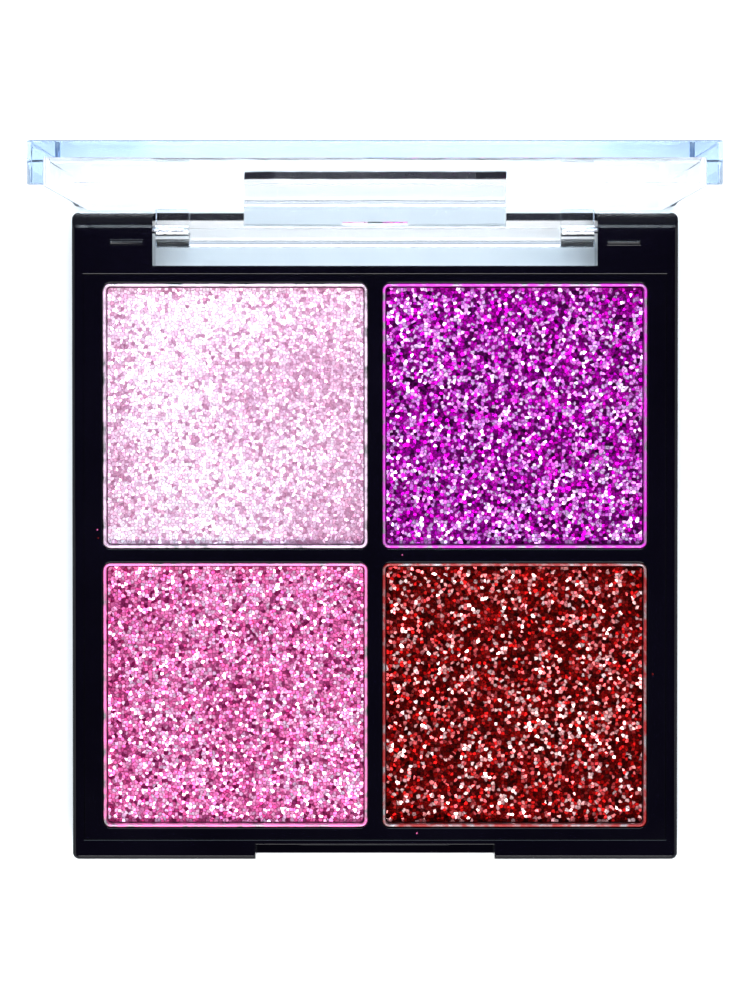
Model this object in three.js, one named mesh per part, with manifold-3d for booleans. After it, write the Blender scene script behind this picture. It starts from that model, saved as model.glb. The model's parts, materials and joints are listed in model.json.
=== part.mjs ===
// A four-pan eyeshadow palette with a clear hinged lid, standing open at a right angle.
// Millimetres. +X is to the right, +Y to the rear (the hinge side), +Z up.
// The origin is the middle of the base's underside.
import * as THREE from "three";
import { mergeVertices } from "three/addons/utils/BufferGeometryUtils.js";
import Module from "manifold-3d";

const wasm = await Module();
wasm.setup();

// ---------------------------------------------------------------- driving dimensions

const WIDTH = 65;
const DEPTH = 69.5;
const BASE_HEIGHT = 7.2;
const CORNER_RADIUS = 0.7;
const EDGE_BREAK = 0.3;
const ARC_STEPS = 5;

// Four square wells, two by two, with a narrow bar between them.
const WELL = 28.6;
const WELL_BAR = 1.4;
const WELL_CENTRE_Y = -2.1;
const WELL_RADIUS = 0.95;
const WELL_FLOOR_Z = 3.0;
const UNDER_WELL = { margin: 0.7, radius: 1.2, floor: 0.8 };

// The case around the frame.
const SIDE_WALL = 1.25;
const FRONT_WALL = 2.1;
const REAR_WALL = 0.9;
const FLOOR = 1.2;
const STATIC_GAP = 0.05;

// The hinge: two ears at the rear corners, and the lid's skirt and knuckles between them.
const EAR_WIDTH = 8.65;
const RECESS_DEPTH = 5.75;
const HINGE = { y: 32.9, z: 5.2 };
const EAR_ROUND = { radius: 2, back: 0.15 };
const EAR_RIB = { fromRecess: 1.05, length: 3.5, y: 31.5, width: 0.5, height: 0.15 };
const PIN = { radius: 0.4, inKnuckle: 3.0, sunk: 0.2 };
const EAR_BORE_RADIUS = 0.44;
const KNUCKLE_BORE_RADIUS = 0.48;
const PIN_SIDES = 24;
const KNUCKLE = { width: 3.6, endGap: 0.3 };
const SKIRT = { thickness: 1.4, barrelRadius: 1.95 };
const STOP_RAIL = { thickness: 0.8, height: 3.05 };
const OPEN_ANGLE = THREE.MathUtils.degToRad(90);

// The lid.
const LID_GAP = 0.15;
const LID_DEPTH = 4.2;
const LID_PANEL = 1.6;
const LID_WALL = 1.5;
const LID_EDGE_BREAK = 0.15;

// The latch: a tab on the lid's front edge that drops into a notch in the base.
const NOTCH = { width: 25.7, depth: 1.6, ledgeZ: 2.5, ledgeSetback: 0.2 };
const TAB = { width: 24.4, length: 4.0, innerSetback: 0.95, leanStart: 1.4, lean: 0.62 };
const BEAD = { width: 16, height: 0.6, proud: 0.41, z: 4.6 };
const TAB_RIDGE = { width: 6, height: 0.3, proud: 0.1, aboveTip: 0.35 };

// Pans, powders and the glue under them.
const PAN = { size: 28.4, wall: 0.4, height: 3.75, radius: 0.75 };
const GLUE_DOT = { radius: 5, thickness: 0.25 };
const POWDER = { clearance: 0.03, belowRim: 1.3 };

// The label on the underside, towards the front, so that the middle of the underside stays bare.
const LABEL = { width: 44, depth: 20, centreY: -19, recess: 0.3, thickness: 0.15, margin: 0.6, radius: 1.5 };

// ---------------------------------------------------------------- places worked out from them

const HALF_WIDTH = WIDTH / 2;
const REAR_Y = DEPTH / 2;
const FRONT_Y = -REAR_Y;
const RECESS_HALF_WIDTH = HALF_WIDTH - EAR_WIDTH;
const RECESS_WALL_Y = REAR_Y - RECESS_DEPTH;
const POCKET = {
  x: HALF_WIDTH - SIDE_WALL,
  frontY: FRONT_Y + FRONT_WALL,
  rearY: RECESS_WALL_Y - REAR_WALL,
};
const WELL_PITCH = WELL + WELL_BAR;
const PAN_Z = WELL_FLOOR_Z + GLUE_DOT.thickness + STATIC_GAP;
const PAN_RIM_Z = PAN_Z + PAN.height;
const RIM_Z = BASE_HEIGHT + LID_GAP;
const LID_TOP_Z = RIM_Z + LID_DEPTH;
const PAST = 1; // how far a cutting shape reaches past the face it cuts

const SHADES = {
  back_left: { column: -1, row: 1, colour: 0xf1d5ec },
  back_right: { column: 1, row: 1, colour: 0xaf4dae },
  front_left: { column: -1, row: -1, colour: 0xdf89bc },
  front_right: { column: 1, row: -1, colour: 0x852f33 },
};

const BLACK_PLASTIC = { color: 0x06060a, roughness: 0.18, metalness: 0 };
const CLEAR_PLASTIC = { color: 0xdcecff, roughness: 0.04, metalness: 0, transparent: true, opacity: 0.3 };
const ALUMINIUM = { color: 0xd9dadc, roughness: 0.3, metalness: 1 };
const STEEL = { color: 0xb9bbbe, roughness: 0.25, metalness: 1 };
const GLUE = { color: 0xe9e4cf, roughness: 0.6, metalness: 0 };
const PAPER = { color: 0xf4f4f2, roughness: 0.8, metalness: 0 };

// ---------------------------------------------------------------- shape helpers

function toSolid(geometry) {
  geometry.deleteAttribute("normal");
  geometry.deleteAttribute("uv");
  const merged = mergeVertices(geometry, 1e-4);
  return new wasm.Manifold(
    new wasm.Mesh({
      numProp: 3,
      vertProperties: new Float32Array(merged.attributes.position.array),
      triVerts: new Uint32Array(merged.index.array),
    }),
  );
}

function toMesh(name, solid, look) {
  const { vertProperties, triVerts } = solid.getMesh();
  const geometry = new THREE.BufferGeometry();
  geometry.setAttribute("position", new THREE.BufferAttribute(vertProperties, 3));
  geometry.setIndex(new THREE.BufferAttribute(triVerts, 1));
  geometry.computeVertexNormals();
  const mesh = new THREE.Mesh(geometry, new THREE.MeshStandardMaterial(look));
  mesh.name = name;
  return mesh;
}

function cutAway(solid, ...tools) {
  return tools.reduce((rest, tool) => rest.subtract(tool), solid);
}

function joinAll(solid, ...others) {
  return others.reduce((sum, other) => sum.add(other), solid);
}

function box(x0, x1, y0, y1, z0, z1) {
  const geometry = new THREE.BoxGeometry(x1 - x0, y1 - y0, z1 - z0);
  geometry.translate((x0 + x1) / 2, (y0 + y1) / 2, (z0 + z1) / 2);
  return toSolid(geometry);
}

// A rectangle in plan with round corners.
function roundedRectangle(x0, x1, y0, y1, radius) {
  const shape = new THREE.Shape();
  shape.absarc(x1 - radius, y1 - radius, radius, 0, Math.PI / 2);
  shape.absarc(x0 + radius, y1 - radius, radius, Math.PI / 2, Math.PI);
  shape.absarc(x0 + radius, y0 + radius, radius, Math.PI, 1.5 * Math.PI);
  shape.absarc(x1 - radius, y0 + radius, radius, 1.5 * Math.PI, 2 * Math.PI);
  shape.closePath();
  return shape;
}

// That rectangle as a block from z0 to z1, its top and bottom edges broken by a small chamfer.
function roundedBlock(x0, x1, y0, y1, z0, z1, radius, chamfer = 0) {
  const outline = roundedRectangle(x0 + chamfer, x1 - chamfer, y0 + chamfer, y1 - chamfer, radius - chamfer);
  const geometry = new THREE.ExtrudeGeometry(outline, {
    depth: z1 - z0 - 2 * chamfer,
    curveSegments: ARC_STEPS,
    bevelEnabled: chamfer > 0,
    bevelThickness: chamfer,
    bevelSize: chamfer,
    bevelSegments: 1,
  });
  geometry.translate(0, 0, z0 + chamfer);
  return toSolid(geometry);
}

// A profile drawn in the YZ plane, made into a bar from x0 to x1.
function barAlongX(profile, x0, x1) {
  const geometry = new THREE.ExtrudeGeometry(profile, {
    depth: x1 - x0,
    curveSegments: 2 * ARC_STEPS,
    bevelEnabled: false,
  });
  const axes = new THREE.Matrix4().makeBasis(
    new THREE.Vector3(0, 1, 0),
    new THREE.Vector3(0, 0, 1),
    new THREE.Vector3(1, 0, 0),
  );
  geometry.applyMatrix4(axes);
  geometry.translate(x0, 0, 0);
  return toSolid(geometry);
}

function polygon(points) {
  return new THREE.Shape(points.map(([y, z]) => new THREE.Vector2(y, z)));
}

// A round bar on the hinge line.
function hingeRod(radius, x0, x1) {
  const geometry = new THREE.CylinderGeometry(radius, radius, x1 - x0, PIN_SIDES);
  geometry.rotateZ(Math.PI / 2);
  geometry.translate((x0 + x1) / 2, HINGE.y, HINGE.z);
  return toSolid(geometry);
}

// The span from x0 to x1 on the right-hand side, or its mirror image on the left.
function onSide(side, x0, x1) {
  return side > 0 ? [x0, x1] : [-x1, -x0];
}

// ---------------------------------------------------------------- the base

// The rear top edge of both ears is rounded about the hinge line, so that the lid's rim swings past it.
function earRounding() {
  const { radius, back } = EAR_ROUND;
  const outline = new THREE.Shape();
  const centreY = HINGE.y - back;
  outline.absarc(centreY, HINGE.z, radius, 0, Math.PI / 2);
  outline.lineTo(centreY, HINGE.z + radius + PAST);
  outline.lineTo(REAR_Y + PAST, HINGE.z + radius + PAST);
  outline.lineTo(REAR_Y + PAST, HINGE.z);
  outline.closePath();
  return barAlongX(outline, -HALF_WIDTH - PAST, HALF_WIDTH + PAST);
}

// The notch drops straight down to a ledge, whose edge is set back a little from the front.
function latchNotch() {
  const back = FRONT_Y + NOTCH.depth;
  const ledgeEdge = FRONT_Y + NOTCH.ledgeSetback;
  const outline = polygon([
    [FRONT_Y - PAST, -PAST],
    [ledgeEdge, -PAST],
    [ledgeEdge, NOTCH.ledgeZ],
    [back, NOTCH.ledgeZ],
    [back, BASE_HEIGHT + PAST],
    [FRONT_Y - PAST, BASE_HEIGHT + PAST],
  ]);
  return barAlongX(outline, -NOTCH.width / 2, NOTCH.width / 2);
}

// A bead across the back of the notch, which the tab's own ridge passes as the lid shuts.
function notchBead() {
  const back = FRONT_Y + NOTCH.depth;
  const outline = polygon([
    [back + STATIC_GAP, BEAD.z + BEAD.height / 2],
    [back - BEAD.proud, BEAD.z],
    [back + STATIC_GAP, BEAD.z - BEAD.height / 2],
  ]);
  return barAlongX(outline, -BEAD.width / 2, BEAD.width / 2);
}

// A low round rib across the top of each ear.
function earRib(side) {
  const { fromRecess, length, y, width, height } = EAR_RIB;
  const radius = (width * width / 4 + height * height) / (2 * height);
  const start = Math.acos(width / 2 / radius);
  const centreZ = BASE_HEIGHT + height - radius;
  const outline = new THREE.Shape();
  outline.moveTo(y - width / 2, BASE_HEIGHT - STATIC_GAP);
  outline.lineTo(y + width / 2, BASE_HEIGHT - STATIC_GAP);
  outline.absarc(y, centreZ, radius, start, Math.PI - start);
  outline.closePath();
  const x = RECESS_HALF_WIDTH + fromRecess;
  return barAlongX(outline, ...onSide(side, x, x + length));
}

// The recess for the hinge goes right through, in front of a low rail that the open lid's back rests on.
function hingeRecess() {
  const railY = REAR_Y - STOP_RAIL.thickness;
  const x = RECESS_HALF_WIDTH;
  const through = box(-x, x, RECESS_WALL_Y, railY, -PAST, BASE_HEIGHT + PAST);
  return through.add(box(-x, x, RECESS_WALL_Y, REAR_Y + PAST, STOP_RAIL.height, BASE_HEIGHT + PAST));
}

function labelRecess() {
  const { width, depth, centreY, recess, margin, radius } = LABEL;
  const halfWidth = width / 2 + margin;
  const halfDepth = depth / 2 + margin;
  return roundedBlock(-halfWidth, halfWidth, centreY - halfDepth, centreY + halfDepth, -PAST, recess, radius);
}

function baseShell() {
  const body = roundedBlock(
    -HALF_WIDTH, HALF_WIDTH, FRONT_Y, REAR_Y, 0, BASE_HEIGHT, CORNER_RADIUS, EDGE_BREAK,
  );
  const pocket = box(-POCKET.x, POCKET.x, POCKET.frontY, POCKET.rearY, FLOOR, BASE_HEIGHT + PAST);
  const bore = hingeRod(EAR_BORE_RADIUS, -HALF_WIDTH - PAST, HALF_WIDTH + PAST);
  const shell = cutAway(body, pocket, hingeRecess(), earRounding(), latchNotch(), bore, labelRecess());
  return toMesh("base_shell", joinAll(shell, notchBead(), earRib(-1), earRib(1)), BLACK_PLASTIC);
}

function underLabel() {
  const { width, depth, centreY, recess, thickness, radius } = LABEL;
  const top = recess - STATIC_GAP / 2;
  const plate = roundedBlock(
    -width / 2, width / 2, centreY - depth / 2, centreY + depth / 2, top - thickness, top, radius,
  );
  return toMesh("underside_label", plate, PAPER);
}

// ---------------------------------------------------------------- the frame that holds the pans

function wellCentre({ column, row }) {
  return [(column * WELL_PITCH) / 2, WELL_CENTRE_Y + (row * WELL_PITCH) / 2];
}

// A square block, centred on a well.
function squareBlock(shade, size, radius, z0, z1) {
  const [x, y] = wellCentre(shade);
  const half = size / 2;
  return roundedBlock(x - half, x + half, y - half, y + half, z0, z1, radius);
}

// The frame stands on its rim and on a cross of ribs, with the space under each well left open.
function panFrame() {
  const { margin, radius, floor } = UNDER_WELL;
  const x = POCKET.x - STATIC_GAP;
  const bottom = FLOOR + STATIC_GAP;
  const body = box(-x, x, POCKET.frontY + STATIC_GAP, POCKET.rearY - STATIC_GAP, bottom, BASE_HEIGHT);
  const cuts = Object.values(SHADES).flatMap((shade) => [
    squareBlock(shade, WELL, WELL_RADIUS, WELL_FLOOR_Z, BASE_HEIGHT + PAST),
    squareBlock(shade, WELL - 2 * margin, radius, bottom - PAST, WELL_FLOOR_Z - floor),
  ]);
  return toMesh("pan_frame", cutAway(body, ...cuts), BLACK_PLASTIC);
}

// ---------------------------------------------------------------- what lies in each well

function glueDot(place, shade) {
  const [x, y] = wellCentre(shade);
  const { radius, thickness } = GLUE_DOT;
  const geometry = new THREE.CylinderGeometry(radius, radius, thickness, PIN_SIDES);
  geometry.rotateX(Math.PI / 2);
  geometry.translate(x, y, WELL_FLOOR_Z + STATIC_GAP / 2 + thickness / 2);
  return toMesh(`glue_dot_${place}`, toSolid(geometry), GLUE);
}

function pan(place, shade) {
  const outside = squareBlock(shade, PAN.size, PAN.radius, PAN_Z, PAN_RIM_Z);
  const insideSize = PAN.size - 2 * PAN.wall;
  const inside = squareBlock(shade, insideSize, PAN.radius - PAN.wall, PAN_Z + PAN.wall, PAN_RIM_Z + PAST);
  return toMesh(`pan_${place}`, outside.subtract(inside), ALUMINIUM);
}

function powder(place, shade) {
  const size = PAN.size - 2 * PAN.wall - 2 * POWDER.clearance;
  const radius = PAN.radius - PAN.wall - POWDER.clearance;
  const cake = squareBlock(
    shade, size, radius, PAN_Z + PAN.wall + POWDER.clearance, PAN_RIM_Z - POWDER.belowRim,
  );
  return toMesh(`powder_${place}`, cake, { color: shade.colour, roughness: 0.35, metalness: 0.4 });
}

// ---------------------------------------------------------------- the hinge pins

function hingePin(name, side) {
  const inner = RECESS_HALF_WIDTH - KNUCKLE.endGap - PIN.inKnuckle;
  const outer = HALF_WIDTH - PIN.sunk;
  return toMesh(name, hingeRod(PIN.radius, ...onSide(side, inner, outer)), STEEL);
}

// ---------------------------------------------------------------- the lid, drawn shut

// Between the ears a skirt hangs from the rim, its outer face flush with the rear. Below the hinge line it
// is round about that line, like a barrel, so that it clears the stop rail as it turns.
function barrelOutline(innerY, turnedBack) {
  const outer = REAR_Y;
  const insideWall = REAR_Y - LID_WALL / 2;
  const radius = SKIRT.barrelRadius;
  const start = Math.acos((outer - HINGE.y) / radius);
  const outline = new THREE.Shape();
  outline.moveTo(outer, RIM_Z + PAST);
  outline.lineTo(insideWall, RIM_Z + PAST);
  outline.lineTo(insideWall, RIM_Z);
  outline.lineTo(innerY, RIM_Z);
  outline.absarc(HINGE.y, HINGE.z, radius, turnedBack, 2 * Math.PI - start);
  outline.closePath();
  return outline;
}

function skirt() {
  const innerY = REAR_Y - SKIRT.thickness;
  const lowest = 2 * Math.PI - Math.acos((innerY - HINGE.y) / SKIRT.barrelRadius);
  const end = RECESS_HALF_WIDTH - KNUCKLE.endGap;
  return barAlongX(barrelOutline(innerY, lowest), -end, end);
}

// At each end it is thick enough to hold the pin: a knuckle, square above the pin and round below.
function knuckle(side) {
  const end = RECESS_HALF_WIDTH - KNUCKLE.endGap;
  const outline = barrelOutline(HINGE.y - SKIRT.barrelRadius, Math.PI);
  return barAlongX(outline, ...onSide(side, end - KNUCKLE.width, end));
}

// The tab hangs from the lid's front wall. Its inner face is upright and its outer face leans out towards
// the tip, where a fingertip lifts it.
function latchTab() {
  const tipZ = RIM_Z - TAB.length;
  const innerY = FRONT_Y + TAB.innerSetback;
  const outline = polygon([
    [FRONT_Y, RIM_Z + TAB.leanStart],
    [FRONT_Y - TAB.lean, tipZ],
    [innerY, tipZ],
    [innerY, RIM_Z + TAB.leanStart],
  ]);
  const ridgeZ = tipZ + TAB_RIDGE.aboveTip;
  const ridge = polygon([
    [innerY - STATIC_GAP, ridgeZ - TAB_RIDGE.height / 2],
    [innerY + TAB_RIDGE.proud, ridgeZ],
    [innerY - STATIC_GAP, ridgeZ + TAB_RIDGE.height / 2],
  ]);
  const tab = barAlongX(outline, -TAB.width / 2, TAB.width / 2);
  return tab.add(barAlongX(ridge, -TAB_RIDGE.width / 2, TAB_RIDGE.width / 2));
}

function lidTray() {
  const outside = roundedBlock(
    -HALF_WIDTH, HALF_WIDTH, FRONT_Y, REAR_Y, RIM_Z, LID_TOP_Z, CORNER_RADIUS, LID_EDGE_BREAK,
  );
  const inside = roundedBlock(
    LID_WALL - HALF_WIDTH, HALF_WIDTH - LID_WALL, FRONT_Y + LID_WALL, REAR_Y - LID_WALL,
    RIM_Z - PAST, LID_TOP_Z - LID_PANEL, CORNER_RADIUS,
  );
  return outside.subtract(inside);
}

function lid() {
  const whole = joinAll(lidTray(), skirt(), knuckle(-1), knuckle(1), latchTab());
  const bore = hingeRod(KNUCKLE_BORE_RADIUS, -HALF_WIDTH, HALF_WIDTH);
  const mesh = toMesh("lid", whole.subtract(bore), CLEAR_PLASTIC);
  mesh.geometry.translate(0, -HINGE.y, -HINGE.z);
  return mesh;
}

// The lid turns about the hinge line: nothing turned is shut, and the open angle stands it upright.
function openLid() {
  const hinge = new THREE.Group();
  hinge.position.set(0, HINGE.y, HINGE.z);
  hinge.rotation.x = -OPEN_ANGLE;
  hinge.add(lid());
  return hinge;
}

// ---------------------------------------------------------------- the whole palette

const palette = new THREE.Group();
palette.add(baseShell(), panFrame(), underLabel());
palette.add(hingePin("hinge_pin_left", -1), hingePin("hinge_pin_right", 1));
for (const [place, shade] of Object.entries(SHADES)) {
  palette.add(glueDot(place, shade), pan(place, shade), powder(place, shade));
}
palette.add(openLid());

export default palette;
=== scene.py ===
import json
import math
import random

import bmesh
import bpy
from mathutils import Matrix, Vector, noise
from mathutils.geometry import delaunay_2d_cdt


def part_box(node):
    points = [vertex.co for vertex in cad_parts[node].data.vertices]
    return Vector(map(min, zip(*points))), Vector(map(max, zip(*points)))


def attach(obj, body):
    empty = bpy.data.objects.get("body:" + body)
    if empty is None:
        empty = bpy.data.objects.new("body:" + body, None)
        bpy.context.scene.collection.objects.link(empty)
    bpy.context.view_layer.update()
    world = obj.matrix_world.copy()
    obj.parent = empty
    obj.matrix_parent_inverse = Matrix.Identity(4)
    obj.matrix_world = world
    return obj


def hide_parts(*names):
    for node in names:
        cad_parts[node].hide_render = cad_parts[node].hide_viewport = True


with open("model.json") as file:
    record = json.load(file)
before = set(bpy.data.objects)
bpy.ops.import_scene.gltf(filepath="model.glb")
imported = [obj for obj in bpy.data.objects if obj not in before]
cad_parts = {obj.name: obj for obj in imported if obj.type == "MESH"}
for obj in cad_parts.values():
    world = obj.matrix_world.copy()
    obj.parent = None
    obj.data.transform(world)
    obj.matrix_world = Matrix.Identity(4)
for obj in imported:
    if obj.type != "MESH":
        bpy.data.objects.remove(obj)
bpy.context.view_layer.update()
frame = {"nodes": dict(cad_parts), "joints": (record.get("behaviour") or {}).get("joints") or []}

MM = 0.001

# ------------------------------------------------------------------ places, from the frame

BASE_LOW, BASE_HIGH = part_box("base_shell")
LID_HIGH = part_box("lid")[1]
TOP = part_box("pan_frame")[1].z
HINGE = Vector(frame["joints"][0]["pos_m"])
PLACES = ("back_left", "back_right", "front_left", "front_right")

# ------------------------------------------------------------------ looks of the four shades
# Colours: deep is the darkest flakes' tone, and mixed into the grooves between flakes it is painted shade;
# main: most flakes; light: the paler flakes; the flash colour is a painted highlight on the flakes that
# seem to flash. shares: how much of the cake is main, light and painted-flash flakes. patchiness: how far
# pale and dark flakes keep apart. metallic: how much of a flake's shine is foil. seed: sets where its
# flakes lie.

SHADES = {
    "back_left": {
        "slot": "glitter_pale_pink", "seed": 11, "metallic": 0.45,
        "shares": (0.46, 0.36, 0.18), "patchiness": 0.7,
        "deep_and_painted_groove_shade": (0.46, 0.19, 0.31), "main": (0.85, 0.55, 0.72),
        "light": (0.97, 0.80, 0.90), "painted_flash": (1.0, 0.96, 0.99),
    },
    "back_right": {
        "slot": "glitter_magenta_violet", "seed": 23, "metallic": 0.95,
        "shares": (0.54, 0.22, 0.24), "patchiness": 0.1,
        "deep_and_painted_groove_shade": (0.03, 0.0, 0.03), "main": (0.58, 0.0, 0.48),
        "light": (1.0, 0.27, 1.0), "painted_flash": (1.0, 0.66, 1.0),
    },
    "front_left": {
        "slot": "glitter_pink", "seed": 37, "metallic": 0.8,
        "shares": (0.49, 0.35, 0.16), "patchiness": 0.2,
        "deep_and_painted_groove_shade": (0.18, 0.0, 0.06), "main": (1.0, 0.18, 0.49),
        "light": (1.0, 0.45, 0.72), "painted_flash": (1.0, 0.70, 0.92),
    },
    "front_right": {
        "slot": "glitter_dark_red", "seed": 51, "metallic": 0.95,
        "shares": (0.68, 0.10, 0.22), "patchiness": 0.1,
        "deep_and_painted_groove_shade": (0.02, 0.0, 0.0), "main": (0.22, 0.0, 0.0),
        "light": (0.84, 0.10, 0.11), "painted_flash": (1.0, 0.66, 0.64),
    },
}

# ------------------------------------------------------------------ material helpers


def new_material(name):
    material = bpy.data.materials.new(name)
    material.use_nodes = True
    tree = material.node_tree
    tree.nodes.clear()
    output = tree.nodes.new("ShaderNodeOutputMaterial")
    shader = tree.nodes.new("ShaderNodeBsdfPrincipled")
    tree.links.new(shader.outputs["BSDF"], output.inputs["Surface"])
    return material, tree, shader, output


def noise_node(tree, scale, detail=3.0, roughness=0.55, stretch=(1, 1, 1)):
    """Noise in the object's own coordinates, scale in features per metre."""
    where = tree.nodes.new("ShaderNodeTexCoord")
    mapping = tree.nodes.new("ShaderNodeMapping")
    mapping.inputs["Scale"].default_value = stretch
    texture = tree.nodes.new("ShaderNodeTexNoise")
    texture.inputs["Scale"].default_value = scale
    texture.inputs["Detail"].default_value = detail
    texture.inputs["Roughness"].default_value = roughness
    tree.links.new(where.outputs["Object"], mapping.inputs["Vector"])
    tree.links.new(mapping.outputs["Vector"], texture.inputs["Vector"])
    return texture.outputs["Fac"]


def remap(tree, value, low, high, from_low=0.3, from_high=0.7):
    node = tree.nodes.new("ShaderNodeMapRange")
    node.inputs["From Min"].default_value = from_low
    node.inputs["From Max"].default_value = from_high
    node.inputs["To Min"].default_value = low
    node.inputs["To Max"].default_value = high
    tree.links.new(value, node.inputs["Value"])
    return node.outputs["Result"]


def two_colours(tree, value, colour_a, colour_b, from_low=0.3, from_high=0.7):
    ramp = tree.nodes.new("ShaderNodeValToRGB")
    ramp.color_ramp.elements[0].position = from_low
    ramp.color_ramp.elements[0].color = (*colour_a, 1)
    ramp.color_ramp.elements[1].position = from_high
    ramp.color_ramp.elements[1].color = (*colour_b, 1)
    tree.links.new(value, ramp.inputs["Fac"])
    return ramp.outputs["Color"]


def bump(tree, height, distance, strength=1.0):
    node = tree.nodes.new("ShaderNodeBump")
    node.inputs["Distance"].default_value = distance
    node.inputs["Strength"].default_value = strength
    tree.links.new(height, node.inputs["Height"])
    return node.outputs["Normal"]


# ------------------------------------------------------------------ materials
# Depths are how far a surface's bumps reach. A grain stretches the noise along the marks of making.

PEEL_DEPTH = 0.0015 * MM
MOULD_DEPTH = 0.008 * MM
DRAW_DEPTH = 0.006 * MM
TURNING_DEPTH = 0.004 * MM
PAPER_DEPTH = 0.01 * MM
GLUE_DEPTH = 0.04 * MM
UPRIGHT_GRAIN = (1, 1, 0.04)
RING_GRAIN = (1, 0.05, 0.05)
# The bounce at which the lid shows its painted glow.
PAINTED_GLOW_BOUNCE = 6
HALF_STEP = 0.5
DUST_EDGE = (0.35, 0.55)


def black_plastic(name, roughness=(0.05, 0.09)):
    """Injection-moulded gloss black, with faint orange peel and handling marks in its gloss."""
    material, tree, shader, _ = new_material(name)
    tone = two_colours(tree, noise_node(tree, scale=90), (0.0010, 0.0007, 0.0024), (0.0016, 0.0012, 0.0036))
    tree.links.new(tone, shader.inputs["Base Color"])
    tree.links.new(remap(tree, noise_node(tree, scale=260), *roughness), shader.inputs["Roughness"])
    tree.links.new(bump(tree, noise_node(tree, scale=500, detail=1), PEEL_DEPTH), shader.inputs["Normal"])
    shader.inputs["IOR"].default_value = 1.46
    shader.inputs["Specular IOR Level"].default_value = 0.16
    return material


def clear_plastic(name):
    """Clear polystyrene with a blue toner: colourless through a wall and blue along one. It lets lamps
    through. It has a painted glow, pale blue-white, where a light path meets it at exactly its sixth bounce
    off any surface. The glow stands in for light that the renderer stops following out."""
    material, tree, shader, output = new_material(name)
    shader.inputs["Base Color"].default_value = (1, 1, 1, 1)
    shader.inputs["Transmission Weight"].default_value = 1.0
    shader.inputs["IOR"].default_value = 1.56
    gloss = remap(tree, noise_node(tree, scale=300, detail=4), 0.0, 0.03)
    tree.links.new(gloss, shader.inputs["Roughness"])
    tree.links.new(bump(tree, noise_node(tree, scale=140, detail=2), MOULD_DEPTH), shader.inputs["Normal"])
    absorption = tree.nodes.new("ShaderNodeVolumeAbsorption")
    absorption.inputs["Color"].default_value = (0.10, 0.36, 0.66, 1)
    absorption.inputs["Density"].default_value = 15.0
    tree.links.new(absorption.outputs["Volume"], output.inputs["Volume"])
    # Painted glow: the plastic gives out pale blue-white light on paths at their sixth bounce, though it is
    # no lamp.
    path = tree.nodes.new("ShaderNodeLightPath")
    painted_glow_at_depth = tree.nodes.new("ShaderNodeMath")
    painted_glow_at_depth.operation = "COMPARE"
    painted_glow_at_depth.inputs[1].default_value = PAINTED_GLOW_BOUNCE
    painted_glow_at_depth.inputs[2].default_value = HALF_STEP
    tree.links.new(path.outputs["Ray Depth"], painted_glow_at_depth.inputs[0])
    shader.inputs["Emission Color"].default_value = (0.77, 0.87, 0.97, 1)
    tree.links.new(painted_glow_at_depth.outputs["Value"], shader.inputs["Emission Strength"])
    open_way = tree.nodes.new("ShaderNodeBsdfTransparent")
    open_way.inputs["Color"].default_value = (0.97, 0.985, 1.0, 1)
    choose = tree.nodes.new("ShaderNodeMixShader")
    tree.links.new(path.outputs["Is Shadow Ray"], choose.inputs[0])
    tree.links.new(shader.outputs["BSDF"], choose.inputs[1])
    tree.links.new(open_way.outputs["BSDF"], choose.inputs[2])
    tree.links.new(choose.outputs["Shader"], output.inputs["Surface"])
    return material


def drawn_aluminium(name, dust):
    """Drawn tin with fine upright draw marks, dusted here and there with the powder that it holds."""
    material, tree, shader, _ = new_material(name)
    tone = two_colours(
        tree, noise_node(tree, scale=900, detail=4), (0.28, 0.26, 0.27), dust, *DUST_EDGE,
    )
    tree.links.new(tone, shader.inputs["Base Color"])
    bare = remap(tree, noise_node(tree, scale=900, detail=4), 1.0, 0.3, *DUST_EDGE)
    tree.links.new(bare, shader.inputs["Metallic"])
    gloss = remap(tree, noise_node(tree, scale=1500, detail=4), 0.28, 0.5)
    tree.links.new(gloss, shader.inputs["Roughness"])
    marks = noise_node(tree, scale=4000, detail=2, stretch=UPRIGHT_GRAIN)
    tree.links.new(bump(tree, marks, DRAW_DEPTH), shader.inputs["Normal"])
    return material


def turned_steel(name):
    material, tree, shader, _ = new_material(name)
    tone = two_colours(tree, noise_node(tree, scale=900), (0.22, 0.23, 0.26), (0.34, 0.35, 0.38))
    tree.links.new(tone, shader.inputs["Base Color"])
    shader.inputs["Metallic"].default_value = 1.0
    tree.links.new(remap(tree, noise_node(tree, scale=2500), 0.18, 0.36), shader.inputs["Roughness"])
    rings = noise_node(tree, scale=6000, detail=2, stretch=RING_GRAIN)
    tree.links.new(bump(tree, rings, TURNING_DEPTH), shader.inputs["Normal"])
    return material


def label_paper(name):
    material, tree, shader, _ = new_material(name)
    fibres = noise_node(tree, scale=1200, detail=5)
    tone = two_colours(tree, fibres, (0.80, 0.80, 0.78), (0.90, 0.90, 0.88))
    tree.links.new(tone, shader.inputs["Base Color"])
    gloss = remap(tree, noise_node(tree, scale=2400, detail=4), 0.55, 0.8)
    tree.links.new(gloss, shader.inputs["Roughness"])
    tree.links.new(bump(tree, noise_node(tree, scale=5000, detail=4), PAPER_DEPTH), shader.inputs["Normal"])
    return material


def hot_glue(name):
    material, tree, shader, _ = new_material(name)
    tone = two_colours(tree, noise_node(tree, scale=700), (0.70, 0.66, 0.50), (0.84, 0.80, 0.66))
    tree.links.new(tone, shader.inputs["Base Color"])
    tree.links.new(remap(tree, noise_node(tree, scale=1500), 0.35, 0.6), shader.inputs["Roughness"])
    tree.links.new(bump(tree, noise_node(tree, scale=800), GLUE_DEPTH), shader.inputs["Normal"])
    return material


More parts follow.
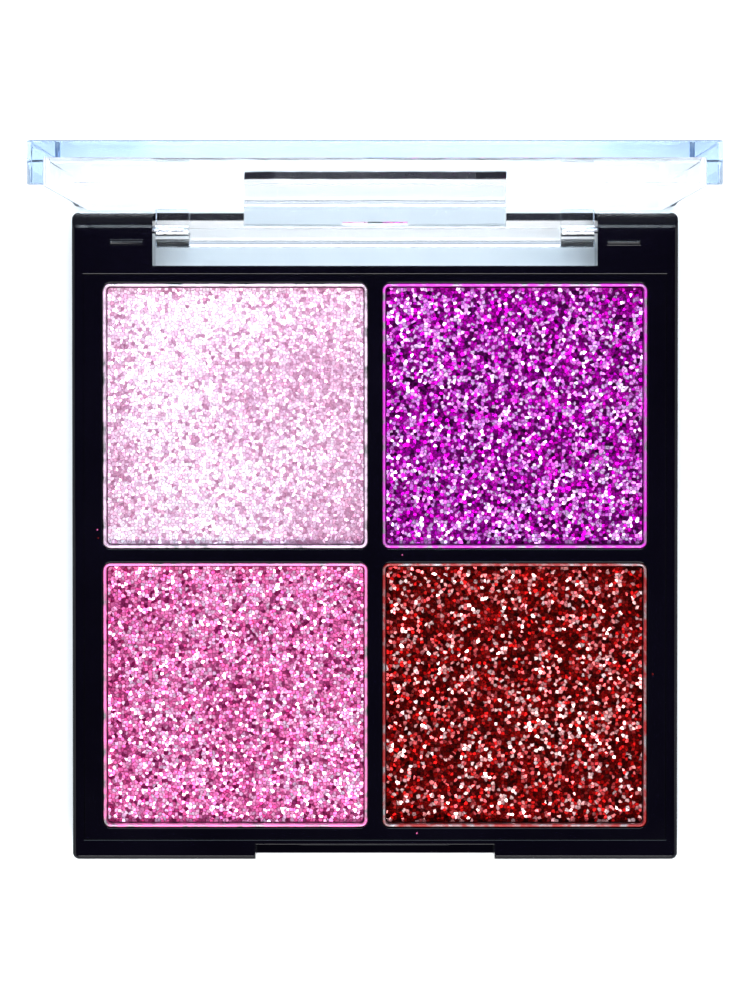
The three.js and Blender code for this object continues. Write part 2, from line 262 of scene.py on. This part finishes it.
def glitter(name, metallic=0.7):
    """Foil flakes: each flake has its own colour, kept with its faces, and a metal's shine. The colours
    kept with the faces also hold painted shade in the grooves between flakes and a painted highlight on a
    few flakes.
    """
    material, tree, shader, _ = new_material(name)
    tint = tree.nodes.new("ShaderNodeAttribute")
    tint.attribute_name = "flake_colour"
    grain = two_colours(tree, noise_node(tree, scale=5000), (0.9, 0.9, 0.9), (1, 1, 1))
    mix = tree.nodes.new("ShaderNodeMix")
    mix.data_type = "RGBA"
    mix.blend_type = "MULTIPLY"
    mix.inputs["Factor"].default_value = 1.0
    tree.links.new(tint.outputs["Color"], mix.inputs["A"])
    tree.links.new(grain, mix.inputs["B"])
    tree.links.new(mix.outputs["Result"], shader.inputs["Base Color"])
    shader.inputs["Metallic"].default_value = metallic
    gloss = remap(tree, noise_node(tree, scale=3000, detail=2), 0.22, 0.38)
    tree.links.new(gloss, shader.inputs["Roughness"])
    return material


# ------------------------------------------------------------------ shape helpers

FLAT_AREA = 25 * MM * MM
MERGE_WITHIN = 0.002 * MM
FLAT_ENOUGH = math.radians(0.8)
SHARP_ANGLE = math.radians(35)
ROOM_TO_ROUND = 0.05 * MM
SHORTEST_EDGE = 0.035 * MM
ROUND_STEPS = 3
LEAST_RADIUS = 0.02 * MM
CASE_ROUND = 0.07 * MM
FRAME_ROUND = 0.05 * MM
LID_ROUND = 0.07 * MM
CORNER_STEPS = 10


def object_from(bm, name, material):
    mesh = bpy.data.meshes.new(name)
    bm.to_mesh(mesh)
    bm.free()
    mesh.materials.append(material)
    piece = bpy.data.objects.new(name, mesh)
    bpy.context.scene.collection.objects.link(piece)
    return piece


def finish_piece(piece, body, node):
    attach(piece, body)
    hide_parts(node)
    return piece


def softened(node, name, material, width, shortest=MERGE_WITHIN):
    """The CAD node's own shape with its sharp edges rounded. Edges under shortest are closed first.
    Sharp edges with no room for a round stay sharp, and a slight fold between broad flats stays crisp."""
    bm = bmesh.new()
    bm.from_mesh(frame["nodes"][node].data)
    bmesh.ops.remove_doubles(bm, verts=bm.verts, dist=MERGE_WITHIN)
    bmesh.ops.dissolve_limit(bm, angle_limit=FLAT_ENOUGH, verts=bm.verts, edges=bm.edges, delimit=set())
    bmesh.ops.remove_doubles(bm, verts=bm.verts, dist=shortest)
    bmesh.ops.recalc_face_normals(bm, faces=bm.faces)
    rounded = bm.edges.layers.float.new("bevel_weight_edge")
    for edge in bm.edges:
        sharp = edge.calc_face_angle() > SHARP_ANGLE
        room = min(near.calc_length() for vertex in edge.verts for near in vertex.link_edges)
        between_flats = min(face.calc_area() for face in edge.link_faces) > FLAT_AREA
        edge[rounded] = float(sharp and room > ROOM_TO_ROUND)
        edge.smooth = bool(edge[rounded]) if sharp else not between_flats
    piece = object_from(bm, name, material)
    rounding = piece.modifiers.new("rounding", "BEVEL")
    rounding.width = width
    rounding.segments = ROUND_STEPS
    rounding.limit_method = "WEIGHT"
    rounding.use_clamp_overlap = False
    flats = piece.modifiers.new("flats", "WEIGHTED_NORMAL")
    flats.mode = "FACE_AREA"
    flats.weight = 100
    flats.keep_sharp = True
    return piece


def rounded_square(half, radius, inset=0.0):
    """Points round a square outline with round corners, moved inwards by inset."""
    points = []
    r = max(radius - inset, LEAST_RADIUS)
    reach = half - inset - r
    for turn, (sx, sy) in enumerate(((1, 1), (-1, 1), (-1, -1), (1, -1))):
        for i in range(CORNER_STEPS + 1):
            a = (turn + i / CORNER_STEPS) * math.pi / 2
            points.append((sx * reach + r * math.cos(a), sy * reach + r * math.sin(a)))
    return points


def lofted(rings, name, material):
    """A closed skin through rings of equal length, each a list of points."""
    bm = bmesh.new()
    loops = [[bm.verts.new(p) for p in ring] for ring in rings]
    count = len(loops[0])
    for lower, upper in zip(loops, loops[1:]):
        for i in range(count):
            j = (i + 1) % count
            bm.faces.new((lower[i], lower[j], upper[j], upper[i]))
    bm.faces.new(list(reversed(loops[0])))
    bm.faces.new(loops[-1])
    bmesh.ops.recalc_face_normals(bm, faces=bm.faces)
    return object_from(bm, name, material)


# ------------------------------------------------------------------ pans

PAN_WALL = 0.32 * MM
RIM_ROUND = 0.12 * MM
PAN_FOOT_ROUND = 0.5 * MM
PAN_CORNER = 0.75 * MM
TURN_STEPS = 6
RIM_CREASE = math.radians(50)
DUST_PALENESS = 0.1


def quarter_turn():
    return [math.pi / 2 * i / TURN_STEPS for i in range(TURN_STEPS + 1)]


def tin_pan(place, material):
    """A drawn tin: flat floor, round foot, upright wall and a thin rolled rim."""
    node = f"pan_{place}"
    low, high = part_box(node)
    centre = (low + high) / 2
    half = (high.x - low.x) / 2

    def ring(inset, z):
        return [(centre.x + x, centre.y + y, z) for x, y in rounded_square(half, PAN_CORNER, inset)]

    rings = []
    outer = PAN_FOOT_ROUND
    for a in quarter_turn():
        rings.append(ring(outer * (1 - math.sin(a)), low.z + outer * (1 - math.cos(a))))
    middle = PAN_WALL / 2
    for a in quarter_turn():
        rings.append(ring(middle * (1 - math.cos(2 * a)), high.z - RIM_ROUND * (1 - math.sin(2 * a))))
    inner = PAN_FOOT_ROUND - PAN_WALL
    for a in quarter_turn():
        rings.append(ring(
            PAN_WALL + inner * (1 - math.cos(a)),
            low.z + PAN_WALL + inner * (1 - math.sin(a)),
        ))
    piece = lofted(rings, f"tin_{place}", material)
    piece.data.shade_smooth()
    piece.data.set_sharp_from_angle(angle=RIM_CREASE)
    return finish_piece(piece, "base", node)


# ------------------------------------------------------------------ pressed glitter
# A cake is one closed skin with flat flakes on top. Each tilts its own way, with a groove round it that is
# coloured darker as painted shade. The flakes are laid out in millimetres, so CORNER_GRID and CLOSEST_SITES
# are in those.

FLAKE_SPACING = 0.36 * MM
MIRRORED_ROWS = 3
CLOSEST_SITES = 1e-7
SITE_SPREAD = (0.04, 0.96)
FLAKE_SHARE = 0.80
GROOVE = 0.025 * MM
FLAT_FLAKES = 0.6
TILTS = (math.radians(6), math.radians(15))
STEEPEST = math.tan(math.radians(28))
FLAKE_STEP = (-0.02 * MM, 0.03 * MM)
CAKE_RADIUS = 0.36 * MM
CAKE_SINK = 0.06 * MM
EDGE_ROLL = 0.35 * MM
EDGE_DROP = 0.14 * MM
WAVES = ((160, 0.05 * MM), (900, 0.03 * MM))
PATCHES_PER_METRE = 110
DEPTH_CURVE = 1.2
# Share of a flake's own colour in its groove; the rest is the deep colour, as painted shade.
GROOVE_PAINTED_SHADE_MIX = 0.3
CORNER_GRID = 0.01


def scattered_sites(half, rng):
    """A site at a random place in each square of a lattice. Those near an edge are mirrored outside it."""
    count = round(2 * half / FLAKE_SPACING)
    step = 2 * half / count
    sites = []
    for j in range(count):
        for i in range(count):
            x = -half + step * (i + rng.uniform(*SITE_SPREAD))
            y = -half + step * (j + rng.uniform(*SITE_SPREAD))
            sites.append((x, y))
    for axis in (0, 1):
        for site in list(sites):
            if half - abs(site[axis]) < MIRRORED_ROWS * step:
                outside = list(site)
                outside[axis] = math.copysign(2 * half, site[axis]) - site[axis]
                sites.append(tuple(outside))
    return sites


def circumcentre(a, b, c):
    d = 2 * (a.x * (b.y - c.y) + b.x * (c.y - a.y) + c.x * (a.y - b.y))
    aa, bb, cc = a.length_squared, b.length_squared, c.length_squared
    x = (aa * (b.y - c.y) + bb * (c.y - a.y) + cc * (a.y - b.y)) / d
    y = (aa * (c.x - b.x) + bb * (a.x - c.x) + cc * (b.x - a.x)) / d
    return x, y


def corner_number(x, y, corners, known):
    """The number of the corner at that place, which is a new one if none is known close by."""
    column, row = round(x / CORNER_GRID), round(y / CORNER_GRID)
    for near in ((column + i, row + j) for i in (0, -1, 1) for j in (0, -1, 1)):
        if near in known:
            return known[near]
    known[column, row] = len(corners)
    corners.append((x, y))
    return known[column, row]


def flake_cells(half, rng):
    """The square cut into cells, one round each site: the corners, and each cell's own in order."""
    sites = [Vector(site) / MM for site in scattered_sites(half, rng)]
    sites, _, triangles, *_ = delaunay_2d_cdt(sites, [], [], 0, CLOSEST_SITES)
    limit = half / MM
    corners = []
    known = {}
    round_site = [[] for _ in sites]
    for triangle in triangles:
        if not any(max(abs(sites[k].x), abs(sites[k].y)) < limit for k in triangle):
            continue
        x, y = circumcentre(*(sites[k] for k in triangle))
        x = min(max(x, -limit), limit)
        y = min(max(y, -limit), limit)
        number = corner_number(x, y, corners, known)
        for k in triangle:
            round_site[k].append(number)
    cells = []
    for site, ring in zip(sites, round_site):
        if max(abs(site.x), abs(site.y)) < limit:
            def bearing(k, site=site):
                return math.atan2(corners[k][1] - site.y, corners[k][0] - site.x)

            cells.append(sorted(set(ring), key=bearing))
    return [(x * MM, y * MM) for x, y in corners], cells


def corner_rounded(x, y, half):
    """Moves points near a corner of the square, so that its outline is round there."""
    u = abs(x) - (half - CAKE_RADIUS)
    v = abs(y) - (half - CAKE_RADIUS)
    if u <= 0 or v <= 0:
        return x, y
    pull = max(u, v) / math.hypot(u, v)
    reach = half - CAKE_RADIUS
    return math.copysign(reach + u * pull, x), math.copysign(reach + v * pull, y)


def pressed_level(x, y, half, seed):
    """Height of the pressed cake against its flat level, with its edge rolled down."""
    waves = sum(height * noise.noise(Vector((x * scale, y * scale, seed / 2))) for scale, height in WAVES)
    inside = min(half - abs(x), half - abs(y))
    fall = max(0.0, 1 - inside / EDGE_ROLL)
    return waves - EDGE_DROP * fall * fall


def mixed(a, b, t):
    return tuple(p + (q - p) * t for p, q in zip(a, b))


def flake_colour(shade, x, y, rng):
    """A flake's colour: darker and paler flakes lie in loose patches, and a few are coloured bright as a
    painted highlight, as if they flashed.
    """
    patch = noise.noise(Vector((x, y, 0)) * PATCHES_PER_METRE + Vector((0, 0, shade["seed"] / 2)))
    main, light, _ = shade["shares"]
    pick = rng.random() + shade["patchiness"] * patch
    if pick < main:
        return mixed(shade["deep_and_painted_groove_shade"], shade["main"], rng.random() ** DEPTH_CURVE)
    if pick < main + light:
        return mixed(shade["main"], shade["light"], rng.random())
    # Painted highlight: these flakes are coloured bright, as if flashing, under any light.
    return mixed(shade["light"], shade["painted_flash"], rng.random())


def flake_plane(centre, half, seed, rng):
    """A flake's height at its middle and its slopes."""
    spread = TILTS[0] if rng.random() < FLAT_FLAKES else TILTS[1]
    slope_x = min(max(math.tan(rng.gauss(0, spread)), -STEEPEST), STEEPEST)
    slope_y = min(max(math.tan(rng.gauss(0, spread)), -STEEPEST), STEEPEST)
    return pressed_level(*centre, half, seed) + rng.uniform(*FLAKE_STEP), slope_x, slope_y


def glitter_cake(place, material):
    """A pressed cake of foil flakes, in one closed piece."""
    shade = SHADES[place]
    rng = random.Random(shade["seed"])
    low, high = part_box(f"powder_{place}")
    middle = (low + high) / 2
    half = (high.x - low.x) / 2
    top = high.z - CAKE_SINK
    corners, cells = flake_cells(half, rng)
    corners = [corner_rounded(x, y, half) for x, y in corners]
    planes = []
    meeting = [[] for _ in corners]
    for ring in cells:
        centre = tuple(sum(corners[k][axis] for k in ring) / len(ring) for axis in (0, 1))
        height, slope_x, slope_y = flake_plane(centre, half, shade["seed"], rng)
        planes.append((centre, height, slope_x, slope_y))
        for k in ring:
            x, y = corners[k]
            meeting[k].append(height + slope_x * (x - centre[0]) + slope_y * (y - centre[1]))

    bm = bmesh.new()
    layer = bm.loops.layers.float_color.new("flake_colour")

    def add_face(points, colour):
        face = bm.faces.new(points)
        for loop in face.loops:
            loop[layer] = (*colour, 1)

    valley = []
    for (x, y), heights in zip(corners, meeting):
        z = sum(heights) / len(heights) - GROOVE
        valley.append(bm.verts.new((middle.x + x, middle.y + y, top + z)))
    for ring, (centre, height, slope_x, slope_y) in zip(cells, planes):
        crown = []
        for k in ring:
            dx = (corners[k][0] - centre[0]) * FLAKE_SHARE
            dy = (corners[k][1] - centre[1]) * FLAKE_SHARE
            z = height + slope_x * dx + slope_y * dy
            crown.append(bm.verts.new((middle.x + centre[0] + dx, middle.y + centre[1] + dy, top + z)))
        colour = flake_colour(shade, *centre, rng)
        add_face(crown, colour)
        for i, k in enumerate(ring):
            j = (i + 1) % len(ring)
            # Painted shade: each groove face is coloured mostly the deep colour, darker than its flake.
            painted_groove_shade = mixed(shade["deep_and_painted_groove_shade"], colour, GROOVE_PAINTED_SHADE_MIX)
            add_face((valley[k], valley[ring[j]], crown[j], crown[i]), painted_groove_shade)

    rim = [edge for edge in bm.edges if edge.is_boundary]
    foot = bmesh.ops.extrude_edge_only(bm, edges=rim)["geom"]
    for vertex in (v for v in foot if isinstance(v, bmesh.types.BMVert)):
        vertex.co.z = low.z
    bmesh.ops.contextual_create(bm, geom=[e for e in foot if isinstance(e, bmesh.types.BMEdge)])
    bmesh.ops.recalc_face_normals(bm, faces=bm.faces)
    piece = object_from(bm, f"glitter_{place}", material)
    return finish_piece(piece, "base", f"powder_{place}")


# ------------------------------------------------------------------ stray flakes

STRAY_COUNT = 5
STRAY_SEED = 5
STRAY_SIDES = 6
STRAY_PALENESS = 0.6
STRAY_RADIUS = (0.08 * MM, 0.13 * MM)
STRAY_THICKNESS = 0.02 * MM
STRAY_LIFT = 0.002 * MM
STRAY_MARGIN = 2 * MM
STRAY_TO_HINGE = 4.5 * MM
STRAY_TO_PAN = 0.3 * MM


def stray_flakes(material):
    """A few loose flakes that lie on the frame and the ears, as thin six-sided plates."""
    rng = random.Random(STRAY_SEED)
    bm = bmesh.new()
    layer = bm.loops.layers.float_color.new("flake_colour")
    wells = [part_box(f"pan_{place}") for place in PLACES]
    placed = 0
    while placed < STRAY_COUNT:
        x = rng.uniform(BASE_LOW.x + STRAY_MARGIN, BASE_HIGH.x - STRAY_MARGIN)
        y = rng.uniform(BASE_LOW.y + STRAY_MARGIN, HINGE.y - STRAY_TO_HINGE)
        radius = rng.uniform(*STRAY_RADIUS)
        near = radius + STRAY_TO_PAN
        over_pan = any(lo.x - near < x < hi.x + near and lo.y - near < y < hi.y + near for lo, hi in wells)
        if over_pan:
            continue
        shade = SHADES[rng.choice(PLACES)]
        turn = rng.uniform(0, math.pi)
        rings = []
        for z in (TOP + STRAY_LIFT, TOP + STRAY_LIFT + STRAY_THICKNESS):
            ring = []
            for k in range(STRAY_SIDES):
                a = turn + k * 2 * math.pi / STRAY_SIDES
                ring.append(bm.verts.new((x + radius * math.cos(a), y + radius * math.sin(a), z)))
            rings.append(ring)
        faces = [bm.faces.new(reversed(rings[0])), bm.faces.new(rings[1])]
        for k in range(STRAY_SIDES):
            j = (k + 1) % STRAY_SIDES
            faces.append(bm.faces.new((rings[0][k], rings[0][j], rings[1][j], rings[1][k])))
        for face in faces:
            for loop in face.loops:
                loop[layer] = (*mixed(shade["deep_and_painted_groove_shade"], shade["main"], STRAY_PALENESS), 1)
        placed += 1
    piece = object_from(bm, "stray_flakes", material)
    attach(piece, "base")


# ------------------------------------------------------------------ camera, light and stage

VIEW_HEIGHT = 502 * MM
VIEW_FOOT = Vector((0.0, 17.7 * MM))
SENSOR = 36.0
LENS = 168.5
CLIP = (0.01, 20)
WALL_COLOUR = (0.86, 0.94, 1.05, 1)
WALL_TOP = 0.55
CEILING_COLOUR = (0.05, 0.052, 0.06, 1)
CEILING_FROM = 0.93
FLOOR_REACH = 3
FLOOR_DROP = 0.05 * MM


def place_camera():
    """Looks almost straight down, from above the rear half of the base."""
    data = bpy.data.cameras.new("camera")
    data.sensor_width = SENSOR
    data.lens = LENS
    data.clip_start, data.clip_end = CLIP
    camera = bpy.data.objects.new("camera", data)
    bpy.context.scene.collection.objects.link(camera)
    eye = Vector((VIEW_FOOT.x, VIEW_FOOT.y, TOP + VIEW_HEIGHT))
    reach = (eye.z - TOP) / (eye.z - LID_HIGH.z)
    lid_edge = eye.y + (LID_HIGH.y - eye.y) * reach
    target = Vector((0, (BASE_LOW.y + lid_edge) / 2, TOP))
    back = (eye - target).normalized()
    right = Vector((1, 0, 0))
    up = back.cross(right)
    axes = Matrix((right, up, back)).transposed()
    camera.matrix_world = Matrix.Translation(eye) @ axes.to_4x4()
    bpy.context.scene.camera = camera


def softbox(name, direction, distance, size, power, colour=(1, 1, 1)):
    """A square lamp that faces the palette from that direction."""
    data = bpy.data.lights.new(name, "AREA")
    data.shape = "SQUARE"
    data.size = size
    data.energy = power
    data.color = colour
    lamp = bpy.data.objects.new(name, data)
    bpy.context.scene.collection.objects.link(lamp)
    away = Vector(direction).normalized()
    lamp.location = away * distance
    lamp.rotation_mode = "QUATERNION"
    lamp.rotation_quaternion = away.to_track_quat("Z", "Y")


def studio_world():
    """Bright pale walls all round and a dim ceiling."""
    world = bpy.data.worlds.new("studio")
    bpy.context.scene.world = world
    world.use_nodes = True
    tree = world.node_tree
    tree.nodes.clear()
    output = tree.nodes.new("ShaderNodeOutputWorld")
    light = tree.nodes.new("ShaderNodeBackground")
    where = tree.nodes.new("ShaderNodeTexCoord")
    split = tree.nodes.new("ShaderNodeSeparateXYZ")
    ramp = tree.nodes.new("ShaderNodeValToRGB")
    ramp.color_ramp.elements[0].position = WALL_TOP
    ramp.color_ramp.elements[0].color = WALL_COLOUR
    ramp.color_ramp.elements[1].position = CEILING_FROM
    ramp.color_ramp.elements[1].color = CEILING_COLOUR
    tree.links.new(where.outputs["Generated"], split.inputs["Vector"])
    tree.links.new(split.outputs["Z"], ramp.inputs["Fac"])
    tree.links.new(ramp.outputs["Color"], light.inputs["Color"])
    tree.links.new(light.outputs["Background"], output.inputs["Surface"])


def studio_floor():
    material, tree, shader, _ = new_material("floor_white")
    tone = two_colours(tree, noise_node(tree, scale=30), (0.90, 0.90, 0.90), (0.93, 0.93, 0.93))
    tree.links.new(tone, shader.inputs["Base Color"])
    shader.inputs["Roughness"].default_value = 0.8
    shader.inputs["Specular IOR Level"].default_value = 0.1
    bm = bmesh.new()
    bmesh.ops.create_grid(bm, x_segments=2, y_segments=2, size=FLOOR_REACH)
    floor = object_from(bm, "floor", material)
    floor.location.z = -FLOOR_DROP


# ------------------------------------------------------------------ build

gloss_black = black_plastic("gloss_black_case")
frame_black = black_plastic("gloss_black_frame", (0.07, 0.12))
clear = clear_plastic("clear_lid_plastic")
case = softened("base_shell", "case", gloss_black, CASE_ROUND, SHORTEST_EDGE)
inner_frame = softened("pan_frame", "inner_frame", frame_black, FRAME_ROUND, SHORTEST_EDGE)
clear_lid = softened("lid", "clear_lid", clear, LID_ROUND)
finish_piece(case, "base", "base_shell")
finish_piece(inner_frame, "base", "pan_frame")
finish_piece(clear_lid, "lid", "lid")

for place in PLACES:
    dust = mixed(SHADES[place]["main"], SHADES[place]["light"], DUST_PALENESS)
    tin_pan(place, drawn_aluminium(f"drawn_tin_{place}", dust))
    glitter_cake(place, glitter(f"glitter_{place}", SHADES[place]["metallic"]))
stray_flakes(glitter("glitter_stray"))

carried_over = {
    "hinge_pin_left": turned_steel("pin_steel"),
    "underside_label": label_paper("blank_label_paper"),
    "glue_dot_back_left": hot_glue("hot_glue"),
}
carried_over["hinge_pin_right"] = carried_over["hinge_pin_left"]
for place in PLACES[1:]:
    carried_over[f"glue_dot_{place}"] = carried_over["glue_dot_back_left"]
for node, material in carried_over.items():
    frame["nodes"][node].data.materials.clear()
    frame["nodes"][node].data.materials.append(material)

place_camera()
studio_world()
studio_floor()
softbox("key", direction=(0.04, -0.5, 1.0), distance=1.2, size=0.4, power=11)
softbox("fill_left", direction=(-1.0, -0.3, 0.9), distance=1.3, size=0.5, power=2.5)
softbox("fill_right", direction=(1.0, 0.1, 0.9), distance=1.3, size=0.5, power=2.5)
softbox("back", direction=(0.0, 0.55, 1.0), distance=1.3, size=0.4, power=6, colour=(0.70, 0.88, 1.0))
bpy.context.scene.view_settings.view_transform = "Standard"
